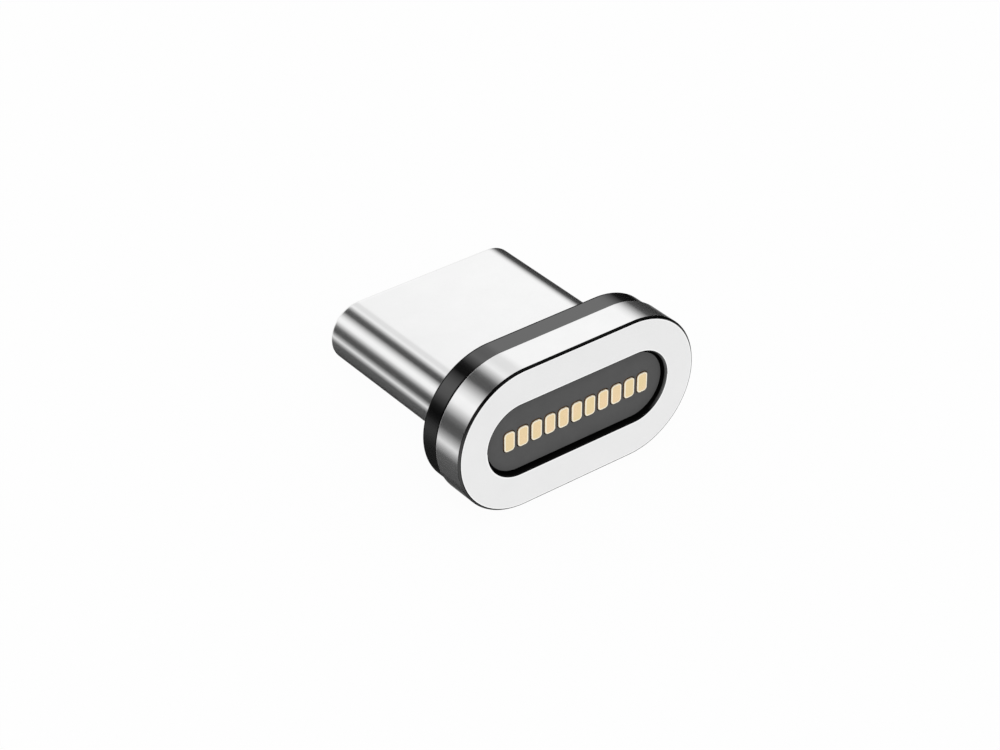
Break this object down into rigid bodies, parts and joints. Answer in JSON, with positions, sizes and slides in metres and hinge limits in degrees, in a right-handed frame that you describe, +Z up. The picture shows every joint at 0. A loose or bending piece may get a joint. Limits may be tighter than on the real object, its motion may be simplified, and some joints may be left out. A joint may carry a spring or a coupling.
{
  "type": "magnetic usb-c tip",
  "caption": "Magnetic charging tip: a flat oval steel-ringed face with a row of gold pads, on a black collar that carries a Type-C plug.",
  "frame": {"origin": "bottom centre of the bounding box of the tip as it lies: the head on the collar's rear edge, the plug on the lower edge of its mouth", "axes": "+X across the width of the oval face, +Y from the magnetic face towards the plug's mouth along the surface, +Z up"},
  "size_m": [0.0104, 0.0098, 0.0059],
  "materials": {
    "ring_nickel": "bright nickel plate on steel, satin on the front face",
    "shell_steel": "polished deep-drawn stainless steel",
    "collar_plastic": "black moulded plastic with a soft gloss",
    "insert_plastic": "fine matt dark grey moulded plastic",
    "housing_plastic": "black glass-filled polymer",
    "board": "solder-masked board",
    "pad_gold": "satin gold plate on copper",
    "terminal_gold": "bright gold plate on copper alloy",
    "spring_steel": "stamped spring steel"
  },
  "bodies": {
    "root": {"circuit_board": "board", "collar": "collar_plastic", "face_ring": "ring_nickel", "latch_plate": "spring_steel", "lower_ground_spring": "spring_steel", "lower_terminal_block": "housing_plastic", "pad_01": "pad_gold", "pad_02": "pad_gold", "pad_03": "pad_gold", "pad_04": "pad_gold", "pad_05": "pad_gold", "pad_06": "pad_gold", "pad_07": "pad_gold", "pad_08": "pad_gold", "pad_09": "pad_gold", "pad_10": "pad_gold", "pad_11": "pad_gold", "pad_carrier": "insert_plastic", "plug_housing": "housing_plastic", "plug_shell": "shell_steel", "terminal_a01": "terminal_gold", "terminal_a02": "terminal_gold", "terminal_a03": "terminal_gold", "terminal_a04": "terminal_gold", "terminal_a05": "terminal_gold", "terminal_a06": "terminal_gold", "terminal_a07": "terminal_gold", "terminal_a08": "terminal_gold", "terminal_a09": "terminal_gold", "terminal_a10": "terminal_gold", "terminal_a11": "terminal_gold", "terminal_a12": "terminal_gold", "terminal_b01": "terminal_gold", "terminal_b02": "terminal_gold", "terminal_b03": "terminal_gold", "terminal_b04": "terminal_gold", "terminal_b05": "terminal_gold", "terminal_b08": "terminal_gold", "terminal_b09": "terminal_gold", "terminal_b10": "terminal_gold", "terminal_b11": "terminal_gold", "terminal_b12": "terminal_gold", "upper_ground_spring": "spring_steel", "upper_terminal_block": "housing_plastic"}
  },
  "joints": []
}
